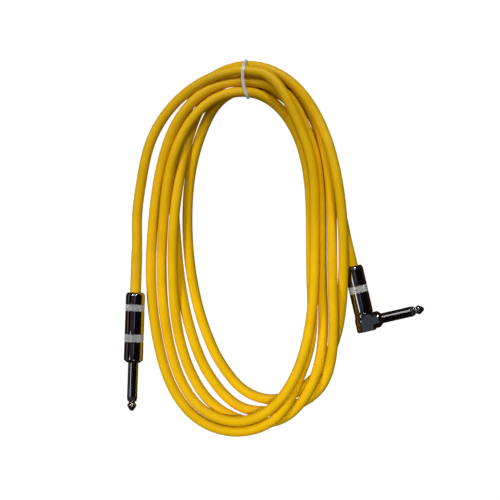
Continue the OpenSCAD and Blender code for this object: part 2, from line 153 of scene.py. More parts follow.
def cableLine():
    dense, turns = way["density"], way["turns"]
    firstWay, lastWay = direction(way["firstSlope"]), direction(way["lastSlope"])
    straight = (way["straightRear"], way["straightTurn"])
    angle = (way["angleRear"], way["angleTurn"])
    height = way["axisHeight"]
    straightBack = (behind(*straight, 1, 0) - behind(*straight, 0, 0))
    angleIn = (behind(*angle, 0, 0) - behind(*angle, 1, 0))
    reliefEnd = behind(*straight, way["reliefOut"], height)
    leadIn = smoothLine(
        [reliefEnd] + [Vector(p) for p in way["straightWay"]] + [tiePoint(0)],
        straightBack, firstWay, dense)
    hankPoints = [tiePoint(0) + 2 * way["radius"] * firstWay]
    for turn in range(turns):
        if turn > 0:
            hankPoints.append(tiePoint(turn))
        for step in range(1, way["steps"]):
            hankPoints.append(ovalPoint(
                step, way["reach"][turn][step - 1], way["lift"][turn][step - 1]))
    hankPoints.append(tiePoint(turns) - 2 * way["radius"] * lastWay)
    hank = smoothLine(hankPoints, firstWay, lastWay, dense)
    leadOut = smoothLine(
        [tiePoint(turns)] + [ovalPoint(step, out, 0) for step, out in way["angleWay"]]
        + [behind(*angle, *way["angleDip"]), behind(*angle, way["angleStraight"], height)],
        lastWay, angleIn, dense)
    start = behind(*straight, -way["jacketInStraight"], height)
    end = behind(*angle, -way["jacketInAngle"], height)
    inStart = [start.lerp(reliefEnd, k / dense) for k in range(dense)]
    inEnd = [leadOut[-1].lerp(end, k / dense) for k in range(1, dense + 1)]
    return [p * mm for p in inStart + leadIn + hank + leadOut + inEnd]


def meshObject(name, verts, faces, uvs=None):
    mesh = bpy.data.meshes.new(name)
    mesh.from_pydata(verts, [], faces)
    if uvs:
        layer = mesh.uv_layers.new(name="surface")
        for loop in mesh.loops:
            layer.data[loop.index].uv = uvs[loop.index]
    mesh.polygons.foreach_set("use_smooth", [True] * len(mesh.polygons))
    mesh.update()
    piece = bpy.data.objects.new(name, mesh)
    scene.collection.objects.link(piece)
    return piece


def tube(name, line, radius, sides):
    # rings carried along the line without twisting, capped at both ends
    count = len(line)
    tangents = [
        (line[min(i + 1, count - 1)] - line[max(i - 1, 0)]).normalized() for i in range(count)
    ]
    side = tangents[0].cross(Vector((0, 0, 1))).normalized()
    verts, lengths, total = [], [], 0
    for i in range(count):
        side = (side - side.dot(tangents[i]) * tangents[i]).normalized()
        up = tangents[i].cross(side)
        if i:
            total += (line[i] - line[i - 1]).length
        lengths.append(total)
        for k in range(sides):
            a = 2 * math.pi * k / sides
            verts.append(line[i] + radius * (math.cos(a) * side + math.sin(a) * up))
    faces, uvs = [], []
    for i in range(count - 1):
        for k in range(sides):
            n = (k + 1) % sides
            faces.append((i * sides + k, i * sides + n, (i + 1) * sides + n, (i + 1) * sides + k))
            uvs += [(lengths[i], k / sides), (lengths[i], (k + 1) / sides),
                    (lengths[i + 1], (k + 1) / sides), (lengths[i + 1], k / sides)]
    faces.append(tuple(reversed(range(sides))))
    faces.append(tuple(range((count - 1) * sides, count * sides)))
    uvs += [(0, 0)] * sides + [(total, 0)] * sides
    return meshObject(name, verts, faces, uvs), total


cable = {"diameter": 0.0063, "sides": 24, "leastStep": 0.2}
laid = cableLine()
cableWay = [laid[0]]
for point in laid:
    if (point - cableWay[-1]).length > cable["leastStep"] * mm:
        cableWay.append(point)
cablePiece, cableLength = tube("cable", cableWay, cable["diameter"] / 2, cable["sides"])
print("cable laid:", round(cableLength, 3), "m,", len(cableWay), "rings")


# finishes, each a principled surface whose colour, gloss and grain come from noise
noiseRange = (0.3, 0.7)  # nearly all of a noise lies between these


def nodeOf(tree, kind, **values):
    node = tree.nodes.new(kind)
    for name, value in values.items():
        setattr(node, name, value)
    return node


def finish(name, look):
    material = bpy.data.materials.new(name)
    material.use_nodes = True
    tree = material.node_tree
    shader = tree.nodes["Principled BSDF"]
    link = tree.links.new
    where = nodeOf(tree, "ShaderNodeTexCoord")
    mapping = nodeOf(tree, "ShaderNodeMapping")
    mapping.inputs["Scale"].default_value = look.get("stretch", (1, 1, 1))
    link(where.outputs["Object"], mapping.inputs["Vector"])

    def noise(scale, detail=3):
        texture = nodeOf(tree, "ShaderNodeTexNoise")
        texture.inputs["Scale"].default_value = scale
        texture.inputs["Detail"].default_value = detail
        link(mapping.outputs["Vector"], texture.inputs["Vector"])
        return texture.outputs["Fac"]

    def spread(source, low, high):
        ranged = nodeOf(tree, "ShaderNodeMapRange")
        ranged.inputs["From Min"].default_value = noiseRange[0]
        ranged.inputs["From Max"].default_value = noiseRange[1]
        ranged.inputs["To Min"].default_value = low
        ranged.inputs["To Max"].default_value = high
        link(source, ranged.inputs["Value"])
        return ranged.outputs["Result"]

    tint = nodeOf(tree, "ShaderNodeMix", data_type="RGBA")
    tint.inputs[6].default_value = (*look["dark"], 1)
    tint.inputs[7].default_value = (*look["light"], 1)
    link(spread(noise(look["patch"]), 0, 1), tint.inputs["Factor"])
    colour = tint.outputs[2]
    if "wear" in look:
        # rubbed edges, marked on the mesh and broken up by fine noise
        edge = nodeOf(tree, "ShaderNodeAttribute", attribute_name="edge")
        rubbed = nodeOf(tree, "ShaderNodeMath", operation="MULTIPLY")
        link(edge.outputs["Fac"], rubbed.inputs[0])
        link(spread(noise(look["wearScale"], detail=4), 0, look["wearAmount"]), rubbed.inputs[1])
        worn = nodeOf(tree, "ShaderNodeMix", data_type="RGBA")
        worn.inputs[7].default_value = (*look["wear"], 1)
        link(rubbed.outputs[0], worn.inputs["Factor"])
        link(colour, worn.inputs[6])
        colour = worn.outputs[2]
    link(colour, shader.inputs["Base Color"])
    link(spread(noise(look["smudge"], detail=5), *look["roughness"]), shader.inputs["Roughness"])
    bump = nodeOf(tree, "ShaderNodeBump")
    bump.inputs["Strength"].default_value = look["bump"]
    bump.inputs["Distance"].default_value = look["bumpDepth"]
    link(noise(look["grain"], detail=2), bump.inputs["Height"])
    link(bump.outputs["Normal"], shader.inputs["Normal"])
    for socket, value in look.get("sockets", {}).items():
        shader.inputs[socket].default_value = value
    return material


finishes = {
    "jacket": finish("jacketPvc", {
        "dark": (0.76, 0.44, 0.002), "light": (0.86, 0.505, 0.003), "patch": 60,
        "roughness": (0.36, 0.48), "smudge": 180,
        "grain": 1500, "bump": 0.12, "bumpDepth": 0.0002,
        "sockets": {"Specular IOR Level": 0.2},
    }),
    "relief": finish("reliefSleeve", {
        "dark": (0.76, 0.44, 0.008), "light": (0.86, 0.51, 0.012), "patch": 90,
        "roughness": (0.30, 0.40), "smudge": 220,
        "grain": 1200, "bump": 0.15, "bumpDepth": 0.0002,
        "sockets": {"Specular IOR Level": 0.35},
    }),
    "tie": finish("tiePlastic", {
        "dark": (0.62, 0.68, 0.80), "light": (0.80, 0.84, 0.92), "patch": 300,
        "roughness": (0.25, 0.38), "smudge": 500,
        "grain": 2500, "bump": 0.2, "bumpDepth": 0.0001,
        "sockets": {"Specular IOR Level": 0.5, "Subsurface Weight": 0.1},
    }),
    "blackNickel": finish("blackNickel", {
        "dark": (0.38, 0.36, 0.37), "light": (0.44, 0.42, 0.43), "patch": 120,
        "roughness": (0.04, 0.10), "smudge": 260,
        "grain": 3000, "bump": 0.03, "bumpDepth": 0.00005,
        "wear": (0.35, 0.34, 0.33), "wearAmount": 0.6, "wearScale": 900,
        "sockets": {"Metallic": 1.0},
    }),
    "brightMetal": finish("brightNickel", {
        "dark": (0.30, 0.30, 0.30), "light": (0.38, 0.38, 0.38), "patch": 150,
        "roughness": (0.02, 0.06), "smudge": 400,
        "grain": 2600, "bump": 0.008, "bumpDepth": 0.00005,
        "sockets": {"Metallic": 1.0},
    }),
    "tip": finish("tipNickel", {
        "dark": (0.50, 0.49, 0.48), "light": (0.64, 0.63, 0.62), "patch": 200,
        "roughness": (0.14, 0.24), "smudge": 500,
        "grain": 2600, "bump": 0.08, "bumpDepth": 0.00005,
        "sockets": {"Metallic": 1.0},
    }),
    "knurl": finish("knurlSilver", {
        "dark": (0.38, 0.38, 0.38), "light": (0.90, 0.90, 0.90), "patch": 900,
        "roughness": (0.42, 0.56), "smudge": 800,
        "grain": 4000, "bump": 0.1, "bumpDepth": 0.00005,
        "sockets": {"Metallic": 0.5},
    }),
    "insulator": finish("blackInsulator", {
        "dark": (0.012, 0.012, 0.013), "light": (0.025, 0.025, 0.027), "patch": 300,
        "roughness": (0.32, 0.48), "smudge": 500,
        "grain": 3000, "bump": 0.1, "bumpDepth": 0.0001, "sockets": {},
    }),
    "liner": finish("clearLiner", {
        "dark": (0.86, 0.88, 0.90), "light": (0.95, 0.96, 0.97), "patch": 100,
        "roughness": (0.06, 0.14), "smudge": 300,
        "grain": 900, "bump": 0.1, "bumpDepth": 0.0001,
        "sockets": {"Transmission Weight": 0.9, "IOR": 1.5},
    }),
    "lug": finish("tinnedBrass", {
        "dark": (0.58, 0.50, 0.36), "light": (0.72, 0.66, 0.52), "patch": 250,
        "roughness": (0.22, 0.38), "smudge": 500,
        "grain": 2200, "bump": 0.12, "bumpDepth": 0.00008, "sockets": {"Metallic": 1.0},
    }),
    "copper": finish("bareCopper", {
        "dark": (0.55, 0.22, 0.11), "light": (0.78, 0.38, 0.22), "patch": 400,
        "roughness": (0.25, 0.40), "smudge": 700,
        "grain": 3500, "bump": 0.6, "bumpDepth": 0.0002, "stretch": (1, 0.15, 1),
        "sockets": {"Metallic": 1.0},
    }),
    "core": finish("coreInsulation", {
        "dark": (0.66, 0.66, 0.64), "light": (0.80, 0.80, 0.78), "patch": 200,
        "roughness": (0.38, 0.50), "smudge": 400,
        "grain": 2000, "bump": 0.1, "bumpDepth": 0.0001, "sockets": {},
    }),
    "solder": finish("solderJoint", {
        "dark": (0.42, 0.42, 0.44), "light": (0.64, 0.64, 0.66), "patch": 500,
        "roughness": (0.22, 0.42), "smudge": 900,
        "grain": 1800, "bump": 0.5, "bumpDepth": 0.0002, "sockets": {"Metallic": 1.0},
    }),
}
print("finishes mixed:", len(finishes))


def dress(piece, look, body, slotName, *replaced):
    piece.data.materials.clear()
    piece.data.materials.append(finishes[look])
    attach(piece, body)
    if replaced:
        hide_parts(*replaced)
    return piece


# turned pieces, drawn along a plug's axis from its barrel's rear, in mm
def plugPlace(rear, turn):
    return (Matrix.Translation((rear[0] * mm, rear[1] * mm, way["axisHeight"] * mm))
            @ Matrix.Rotation(math.radians(turn), 4, "Z") @ Matrix.Rotation(math.pi / 2, 4, "X"))


elbowAxis = 35.4  # from the barrel's rear to the middle of the right-angle shaft
turning = {"arcSteps": 6, "threadSteps": 6, "around": 96, "sharpAngle": 38,
           "same": 1e-6, "thinnest": 1, "merge": 1e-7, "degenerate": 1e-8}
straightPlace = plugPlace(way["straightRear"], way["straightTurn"])
anglePlace = plugPlace(way["angleRear"], way["angleTurn"])
elbowPlace = (anglePlace @ Matrix.Translation((0, 0, elbowAxis * mm))
              @ Matrix.Rotation(math.pi / 2, 4, "Y"))


def softened(profile):
    # each corner is (radius, height, rounding); a rounding becomes a short arc
    out, count = [], len(profile)
    for i, (r, z, rounding) in enumerate(profile):
        here = Vector((r, z))
        before, after = Vector(profile[i - 1][:2]), Vector(profile[(i + 1) % count][:2])
        if rounding <= 0:
            out.append((r, z, 0))
            continue
        a = min(rounding, 0.49 * (before - here).length)
        b = min(rounding, 0.49 * (after - here).length)
        start = here + a * (before - here).normalized()
        end = here + b * (after - here).normalized()
        for k in range(turning["arcSteps"] + 1):
            t = k / turning["arcSteps"]
            p = (1 - t) ** 2 * start + 2 * t * (1 - t) * here + t ** 2 * end
            out.append((p.x, p.y, 1 - abs(2 * t - 1)))
    return out


def lathe(name, profile, place, around=turning["around"], thread=None, closed=True):
    # profile turned once round; thread = (from, to, pitch, depth) winds a screw thread on it
    rings, same = softened(profile), turning["same"]
    low, high, pitch, depth = thread or (0, 0, 1, 0)
    if thread:
        dense = []
        for i, point in enumerate(rings):
            dense.append(point)
            after = rings[(i + 1) % len(rings)]
            straight = abs(point[0] - after[0]) < same and point[0] > turning["thinnest"]
            covers = (min(point[1], after[1]) <= low + same
                      and max(point[1], after[1]) >= high - same)
            if straight and covers:
                steps = round((high - low) / pitch * turning["threadSteps"])
                for k in range(1, steps):
                    dense.append((point[0], point[1] + (after[1] - point[1]) * k / steps, -1))
        rings = dense
    verts, index, edge = [], [], []
    for r, z, mark in rings:
        if r < same:
            index.append([len(verts)] * around)
            verts.append(Vector((0, 0, z)))
            edge.append(max(mark, 0))
            continue
        row = []
        for k in range(around):
            a = 2 * math.pi * k / around
            here = r
            if mark < 0:
                phase = (z / pitch - k / around) % 1
                here = r - depth * (1 - abs(2 * phase - 1))
            row.append(len(verts))
            verts.append(Vector((here * math.cos(a), here * math.sin(a), z)))
            edge.append(max(mark, 0))
        index.append(row)
    faces, uvs = [], []
    length, count = 0, len(rings)
    for i in range(count if closed else count - 1):
        j = (i + 1) % count
        step = (Vector(rings[j][:2]) - Vector(rings[i][:2])).length * mm
        for k in range(around):
            n = (k + 1) % around
            near, far = k / around, (k + 1) / around
            corners = [(index[i][k], (near, length)), (index[j][k], (near, length + step)),
                       (index[j][n], (far, length + step)), (index[i][n], (far, length))]
            kept = []
            for corner in corners:
                if corner[0] not in [c[0] for c in kept]:
                    kept.append(corner)
            if len(kept) > 2:
                faces.append(tuple(c[0] for c in kept))
                uvs += [c[1] for c in kept]
        length += step
    piece = meshObject(name, [v * mm for v in verts], faces, uvs)
    marks = piece.data.attributes.new("edge", "FLOAT", "POINT")
    marks.data.foreach_set("value", edge)
    cleanUp(piece)
    piece.data.transform(place)
    return piece


def cleanUp(piece, sharp=turning["sharpAngle"]):
    shell = bmesh.new()
    shell.from_mesh(piece.data)
    bmesh.ops.remove_doubles(shell, verts=shell.verts, dist=turning["merge"])
    bmesh.ops.dissolve_degenerate(shell, edges=shell.edges, dist=turning["degenerate"])
    bmesh.ops.recalc_face_normals(shell, faces=shell.faces)
    shell.to_mesh(piece.data)
    shell.free()
    piece.data.polygons.foreach_set("use_smooth", [True] * len(piece.data.polygons))
    piece.data.set_sharp_from_angle(angle=math.radians(sharp))
    piece.data.update()


# tie, pulled round the bundle
tie = {
    "width": 1.9, "thickness": 1.0, "slack": 0.05, "corners": 120, "section": 16,
    "outerEnd": -17.3, "innerEnd": -16.0, "frontBow": -2.7, "backBow": 1.0,
    "bowFullness": 0.8, "turnOver": 1.5, "sideFullness": 0.6, "faceFullness": 0.75,
    "passCorners": 72, "sharpAngle": 60,
}


def tieLoop():
    # the tightest loop round all passes, seen along the cable
    centres = [tiePoint(lap) for lap in range(way["turns"] + 1)]
    reach = way["radius"] + tie["thickness"] / 2 + tie["slack"]
    points = []
    for p in centres:
        for k in range(tie["passCorners"]):
            a = 2 * math.pi * k / tie["passCorners"]
            points.append((p.y + reach * math.cos(a), p.z + reach * math.sin(a)))
    points = sorted(set(points))

    def chain(source):
        hull = []
        for p in source:
            while len(hull) > 1 and ((hull[-1][0] - hull[-2][0]) * (p[1] - hull[-2][1])
                                     - (hull[-1][1] - hull[-2][1]) * (p[0] - hull[-2][0])) <= 0:
                hull.pop()
            hull.append(p)
        return hull[:-1]

    hull = [Vector(p) for p in chain(points) + chain(reversed(points))]
    total = sum((hull[i] - hull[i - 1]).length for i in range(len(hull)))
    even, walked, target = [], 0, 0
    for i in range(len(hull)):
        a, b = hull[i], hull[(i + 1) % len(hull)]
        length = (b - a).length
        while target <= walked + length and len(even) < tie["corners"]:
            even.append(a.lerp(b, (target - walked) / length))
            target += total / tie["corners"]
        walked += length
    return even


def makeTie():
    loop = tieLoop()
    count = len(loop)
    low, high = min(p.x for p in loop), max(p.x for p in loop)
    middle = Vector((sum(p.x for p in loop), sum(p.y for p in loop))) / count
    verts, faces, uvs = [], [], []
    section = tie["section"]
    for i, p in enumerate(loop):
        tangent = (loop[(i + 1) % count] - loop[i - 1]).normalized()
        out = Vector((tangent.y, -tangent.x))
        share = (p.x - low) / (high - low)
        onTop = 1 / (1 + math.exp(-(p.y - middle.y) / tie["turnOver"]))
        bow = math.sin(math.pi * share) ** tie["bowFullness"]
        x = tie["innerEnd"] + share * (tie["outerEnd"] - tie["innerEnd"])
        x += bow * (onTop * tie["frontBow"] + (1 - onTop) * tie["backBow"])
        for k in range(section):
            a = 2 * math.pi * k / section
            across, proud = math.cos(a), math.sin(a)
            across = math.copysign(abs(across) ** tie["sideFullness"], across)
            proud = math.copysign(abs(proud) ** tie["faceFullness"], proud)
            across *= tie["width"] / 2
            proud *= tie["thickness"] / 2
            verts.append(Vector((x + across, p.x + proud * out.x, p.y + proud * out.y)) * mm)
    for i in range(count):
        j = (i + 1) % count
        for k in range(section):
            n = (k + 1) % section
            faces.append((i * section + k, i * section + n, j * section + n, j * section + k))
            uvs += [(i / count, k / section)] * 4
    piece = meshObject("tieLoop", verts, faces, uvs)
    cleanUp(piece, tie["sharpAngle"])
    return dress(piece, "tie", "cable", "tie", "tie")


tiePiece = makeTie()
print("tie pulled round")


# knurled bands, one small pyramid repeated round a barrel over a plain sleeve
knurl = {"around": 36, "height": 0.32, "radius": 5.68, "merge": 0.002,
         "sleeveWall": 0.1, "sleeveShort": 0.02, "sleeveAround": 92}


def knurlTree():
    tree = bpy.data.node_groups.new("knurledBand", "GeometryNodeTree")
    face = tree.interface
    sockets = {}
    for name, kind in [("Around", "NodeSocketInt"), ("Rows", "NodeSocketInt"),
                       ("Radius", "NodeSocketFloat"), ("Start", "NodeSocketFloat"),
                       ("Length", "NodeSocketFloat"), ("Height", "NodeSocketFloat"),
                       ("Finish", "NodeSocketMaterial")]:
        sockets[name] = face.new_socket(name, in_out="INPUT", socket_type=kind).identifier
    face.new_socket("Band", in_out="OUTPUT", socket_type="NodeSocketGeometry")
    given = tree.nodes.new("NodeGroupInput")
    result = tree.nodes.new("NodeGroupOutput")
    link = tree.links.new

    def maths(operation, a, b=None):
        node = nodeOf(tree, "ShaderNodeMath", operation=operation)
        for slot, value in zip(node.inputs, (a, b)):
            if value is None:
                continue
            if isinstance(value, (int, float)):
                slot.default_value = value
            else:
                link(value, slot)
        return node.outputs[0]

    around, rows = given.outputs["Around"], given.outputs["Rows"]
    layers = maths("SUBTRACT", maths("MULTIPLY", rows, 2), 1)
    points = nodeOf(tree, "GeometryNodePoints")
    link(maths("MULTIPLY", around, layers), points.inputs["Count"])
    index = tree.nodes.new("GeometryNodeInputIndex").outputs[0]
    column = maths("MODULO", index, around)
    layer = maths("FLOOR", maths("DIVIDE", index, around))
    halfShift = maths("MULTIPLY", maths("MODULO", layer, 2), 0.5)
    share = maths("DIVIDE", maths("ADD", column, halfShift), around)
    angle = maths("MULTIPLY", share, 2 * math.pi)
    halfRow = maths("DIVIDE", given.outputs["Length"], maths("MULTIPLY", rows, 2))
    height = maths("MULTIPLY", maths("ADD", layer, 1), halfRow)
    height = maths("ADD", given.outputs["Start"], height)
    outward = nodeOf(tree, "ShaderNodeCombineXYZ")
    link(maths("COSINE", angle), outward.inputs["X"])
    link(maths("SINE", angle), outward.inputs["Y"])
    spot = nodeOf(tree, "ShaderNodeCombineXYZ")
    link(maths("MULTIPLY", maths("COSINE", angle), given.outputs["Radius"]), spot.inputs["X"])
    link(maths("MULTIPLY", maths("SINE", angle), given.outputs["Radius"]), spot.inputs["Y"])
    link(height, spot.inputs["Z"])
    link(spot.outputs[0], points.inputs["Position"])
    axis = nodeOf(tree, "ShaderNodeCombineXYZ")
    axis.inputs["Z"].default_value = 1
    turned = nodeOf(tree, "FunctionNodeAxesToRotation", primary_axis="Z", secondary_axis="X")
    link(outward.outputs[0], turned.inputs["Primary Axis"])
    link(axis.outputs[0], turned.inputs["Secondary Axis"])
    stud = nodeOf(tree, "GeometryNodeMeshCone", fill_type="NONE")
    stud.inputs["Vertices"].default_value = 4
    stud.inputs["Radius Top"].default_value = 0
    stud.inputs["Radius Bottom"].default_value = 1
    stud.inputs["Depth"].default_value = 1
    size = nodeOf(tree, "ShaderNodeCombineXYZ")
    link(halfRow, size.inputs["X"])
    link(maths("MULTIPLY", maths("DIVIDE", given.outputs["Radius"], around), math.pi),
         size.inputs["Y"])
    link(given.outputs["Height"], size.inputs["Z"])
    placed = nodeOf(tree, "GeometryNodeInstanceOnPoints")
    link(points.outputs[0], placed.inputs["Points"])
    link(stud.outputs["Mesh"], placed.inputs["Instance"])
    link(turned.outputs[0], placed.inputs["Rotation"])
    link(size.outputs[0], placed.inputs["Scale"])
    realized = nodeOf(tree, "GeometryNodeRealizeInstances")
    link(placed.outputs[0], realized.inputs[0])
    coated = nodeOf(tree, "GeometryNodeSetMaterial")
    link(realized.outputs[0], coated.inputs["Geometry"])
    link(given.outputs["Finish"], coated.inputs["Material"])
    link(coated.outputs[0], result.inputs[0])
    return tree, sockets


knurlNodes, knurlSockets = knurlTree()


def knurlBand(name, start, length, rows, place, body):
    holder = bpy.data.objects.new(name + "Points", bpy.data.meshes.new(name))
    scene.collection.objects.link(holder)
    modifier = holder.modifiers.new("knurl", "NODES")
    modifier.node_group = knurlNodes
    for socket, value in {"Around": knurl["around"], "Rows": rows,
                          "Radius": knurl["radius"] * mm, "Start": start * mm,
                          "Length": length * mm, "Height": knurl["height"] * mm,
                          "Finish": finishes["knurl"]}.items():
        modifier[knurlSockets[socket]] = value
    bpy.context.view_layer.update()
    evaluated = holder.evaluated_get(bpy.context.evaluated_depsgraph_get())
    mesh = bpy.data.meshes.new_from_object(evaluated)
    holder.modifiers.clear()
    bpy.data.objects.remove(holder)
    piece = bpy.data.objects.new(name, mesh)
    scene.collection.objects.link(piece)
    shell = bmesh.new()
    shell.from_mesh(mesh)
    bmesh.ops.remove_doubles(shell, verts=shell.verts, dist=knurl["merge"] * mm)
    # the pyramids' feet are closed by a plain sleeve under them
    outer, around = knurl["radius"], knurl["sleeveAround"]
    inner = outer - knurl["sleeveWall"]
    low, high = start + knurl["sleeveShort"], start + length - knurl["sleeveShort"]
    sleeve = [[shell.verts.new((r * mm * math.cos(2 * math.pi * k / around),
                                r * mm * math.sin(2 * math.pi * k / around), z * mm))
               for k in range(around)]
              for r, z in ((outer, low), (outer, high), (inner, high), (inner, low))]
    for ring, nextRing in zip(sleeve, sleeve[1:] + sleeve[:1]):
        for k in range(around):
            n = (k + 1) % around
            shell.faces.new((ring[k], ring[n], nextRing[n], nextRing[k]))
    shell.to_mesh(mesh)
    shell.free()
    mesh.transform(place)
    return dress(piece, "knurl", body, "bright_metal")


# barrels, each a shell with its own bands as (name, start, length, rows of studs)
barrel = {
    "radius": 5.92, "bandRadius": 5.72, "bandEdge": 0.08, "holeEdge": 0.3,
    "rearRound": (1.6, 2.4), "frontRound": (0.8, 1.2), "roundStep": 15,
    "neckHole": 4.88, "neckEdge": 0.05, "threadLength": 4.3, "bore": 5.25, "rearWall": 2.5,
    "straight": {"length": 42.2, "hole": 3.9, "bands": [
        ("straightKnurlRear", 7.1, 4.6, 4), ("straightKnurlFront", 25.6, 5.2, 5)]},
    "angle": {"length": 30.2, "hole": 3.5, "bands": [("angleKnurl", 12.3, 4.9, 4)]},
}


def makeBarrel(name, own, place, node):
    b, hole, length = barrel, own["hole"], own["length"]
    quarter = [math.radians(a) for a in range(0, 91, b["roundStep"])]
    deep, far = b["rearRound"]
    profile = [(hole, 0, b["holeEdge"])]
    profile += [(b["radius"] - deep * (1 - math.sin(a)), far * (1 - math.cos(a)), 0)
                for a in quarter]
    for _, low, bandLength, _ in own["bands"]:
        high = low + bandLength
        profile += [(b["radius"], low, b["bandEdge"]), (b["bandRadius"], low, 0),
                    (b["bandRadius"], high, 0), (b["radius"], high, b["bandEdge"])]
    deep, far = b["frontRound"]
    profile += [(b["radius"] - deep * (1 - math.cos(a)), length - far * (1 - math.sin(a)), 0)
                for a in quarter]
    profile += [(b["neckHole"], length, b["neckEdge"]),
                (b["neckHole"], length - b["threadLength"], 0),
                (b["bore"], length - b["threadLength"], 0), (b["bore"], b["rearWall"], 0),
                (hole, b["rearWall"], 0)]
    return dress(lathe(name, profile, place), "blackNickel", node, "black_nickel", node)


def knurlBarrel(own, place, node):
    return [knurlBand(name, start, length, rows, place, node)
            for name, start, length, rows in own["bands"]]


makeBarrel("straightBarrelShell", barrel["straight"], straightPlace, "straight_barrel")
angleBarrel = makeBarrel("angleBarrelShell", barrel["angle"], anglePlace, "angle_barrel")
knurlBarrel(barrel["straight"], straightPlace, "straight_barrel")
angleKnurl = knurlBarrel(barrel["angle"], anglePlace, "angle_barrel")[0]
print("barrels and knurled bands turned")


# shafts, tips and rings; an outline is (radius, distance, rounding)
shaft = {"radius": 3.175, "bushRadius": 1.7, "rodRadius": 0.9, "frontEdge": 0.08,
         "straightEnd": 73.0, "angleEnd": 36.8}
tip = {
    "rodEdge": 0.2, "straightRod": 36.25, "angleRod": 0.8,
    "outline": [  # measured back from the very end
        (3.0, 6.5, 0.15), (2.85, 6.25, 0.1), (2.0, 5.7, 0.3), (2.05, 4.9, 0.4),
        (2.95, 3.55, 0.35), (2.9, 2.95, 0.5), (1.3, 0.55, 0.5), (0.75, 0, 0.35)],
}
ring = {"back": 8.6, "shoulder": 7.4, "step": 7.3, "front": 6.5, "sink": 0.25,
        "edge": 0.1, "stepEdge": 0.05}
neck = {"radius": 4.8, "length": 4.0, "pitch": 0.75, "depth": 0.3}
flange = {
    "front": 42.25, "length": 1.1, "shaftEdge": 0.05,
    "outline": [(5.1, 0, 0.05), (4.7, 0.5, 0.6), (3.6, 1.05, 0.2)],
}
collar = {
    "shaftEdge": 0.1,
    "outline": [(3, 4, 0), (3, 7.5, 0), (5.15, 7.5, 0.1), (5.0, 8.6, 0.8), (3.5, 10, 0.5),
                (3.4, 10.1, 0.05)],
}


def makeTip(name, end, rodEnd, place, replaced):
    rod, outline = shaft["rodRadius"], tip["outline"]
    profile = [(0, rodEnd, 0), (rod, rodEnd, tip["rodEdge"]), (rod, end - outline[0][1], 0)]
    profile += [(r, end - back, rounding) for r, back, rounding in outline]
    profile.append((0, end, 0))
    return dress(lathe(name, profile, place, closed=False), "tip", "cable",
                 "bright_metal", replaced)


def makeRing(name, end, place, replaced):
    r, rod, inner = shaft["radius"], shaft["rodRadius"], shaft["radius"] - ring["sink"]
    profile = [(rod, end - ring["back"], 0), (r, end - ring["back"], ring["edge"]),
               (r, end - ring["shoulder"], ring["stepEdge"]),
               (inner, end - ring["step"], ring["stepEdge"]),
               (inner, end - ring["front"], ring["edge"]), (rod, end - ring["front"], 0)]
    return dress(lathe(name, profile, place), "insulator", "cable", "black_insulator", replaced)


def shaftProfile(end, start, edge):
    # the plain part of a shaft, from its collar to the insulating ring
    front = end - ring["back"]
    return [(shaft["radius"], start, edge), (shaft["radius"], front, shaft["frontEdge"]),
            (shaft["bushRadius"], front, 0)]


straightEnd, angleEnd = shaft["straightEnd"], shaft["angleEnd"]
makeTip("straightTipPin", straightEnd, tip["straightRod"], straightPlace, "straight_tip")
angleTip = makeTip("angleTipPin", angleEnd, tip["angleRod"], elbowPlace, "angle_tip")
makeRing("straightInsulatingRing", straightEnd, straightPlace, "straight_tip_ring")
angleRing = makeRing("angleInsulatingRing", angleEnd, elbowPlace, "angle_tip_ring")

neckRear = flange["front"] - neck["length"]
dress(lathe("straightShaft", [
    (shaft["bushRadius"], neckRear, 0), (neck["radius"], neckRear, 0),
    (neck["radius"], flange["front"], 0),
    *[(r, flange["front"] + ahead, rounding) for r, ahead, rounding in flange["outline"]],
    *shaftProfile(straightEnd, flange["front"] + flange["length"], flange["shaftEdge"]),
], straightPlace, thread=(neckRear, flange["front"], neck["pitch"], neck["depth"])),
    "brightMetal", "cable", "bright_metal", "straight_sleeve")
angleShaft = lathe("angleShaft", [
    (shaft["bushRadius"], collar["outline"][0][1], 0), *collar["outline"],
    *shaftProfile(angleEnd, collar["outline"][-1][1], collar["shaftEdge"]),
], anglePlace.inverted() @ elbowPlace)
print("shafts and tips turned")


# elbow, a round body with a boss to the side and an arched flat on both faces
elbow = {
    "front": 30.25, "length": 11.1, "radius": 5.92, "round": 1.5, "lip": 0.15,
    "spigot": 4.0, "spigotLength": 0.5, "heel": 0.6, "heelStart": 3.6, "heelBlend": 0.4,
    "heelSteps": 6, "roundStep": 10,
    "flat": 4.6, "archRadius": 5.75, "archShift": 2.3, "archDrop": 1.45, "archStep": 4,
    "bossRadius": 5.15, "bossStart": 0.5, "bossLength": 7.5, "bossEdge": 0.12,
    "stub": 3.0, "stubSpan": (-3, 8), "bore": 2.8, "boreStart": 20, "floor": 2.6,
    "cutterReach": 14, "cutterTop": 8, "cutterPast": 2, "sharpAngle": 18,
}


def cutAway(piece, cutters):
    for cutter in cutters:
        modifier = piece.modifiers.new("cut", "BOOLEAN")
        modifier.operation = cutter[1]
        modifier.solver = "EXACT"
        modifier.object = cutter[0]
    bpy.context.view_layer.update()
    evaluated = piece.evaluated_get(bpy.context.evaluated_depsgraph_get())
    mesh = bpy.data.meshes.new_from_object(evaluated)
    piece.modifiers.clear()
    piece.data = mesh
    for cutter in cutters:
        bpy.data.objects.remove(cutter[0])


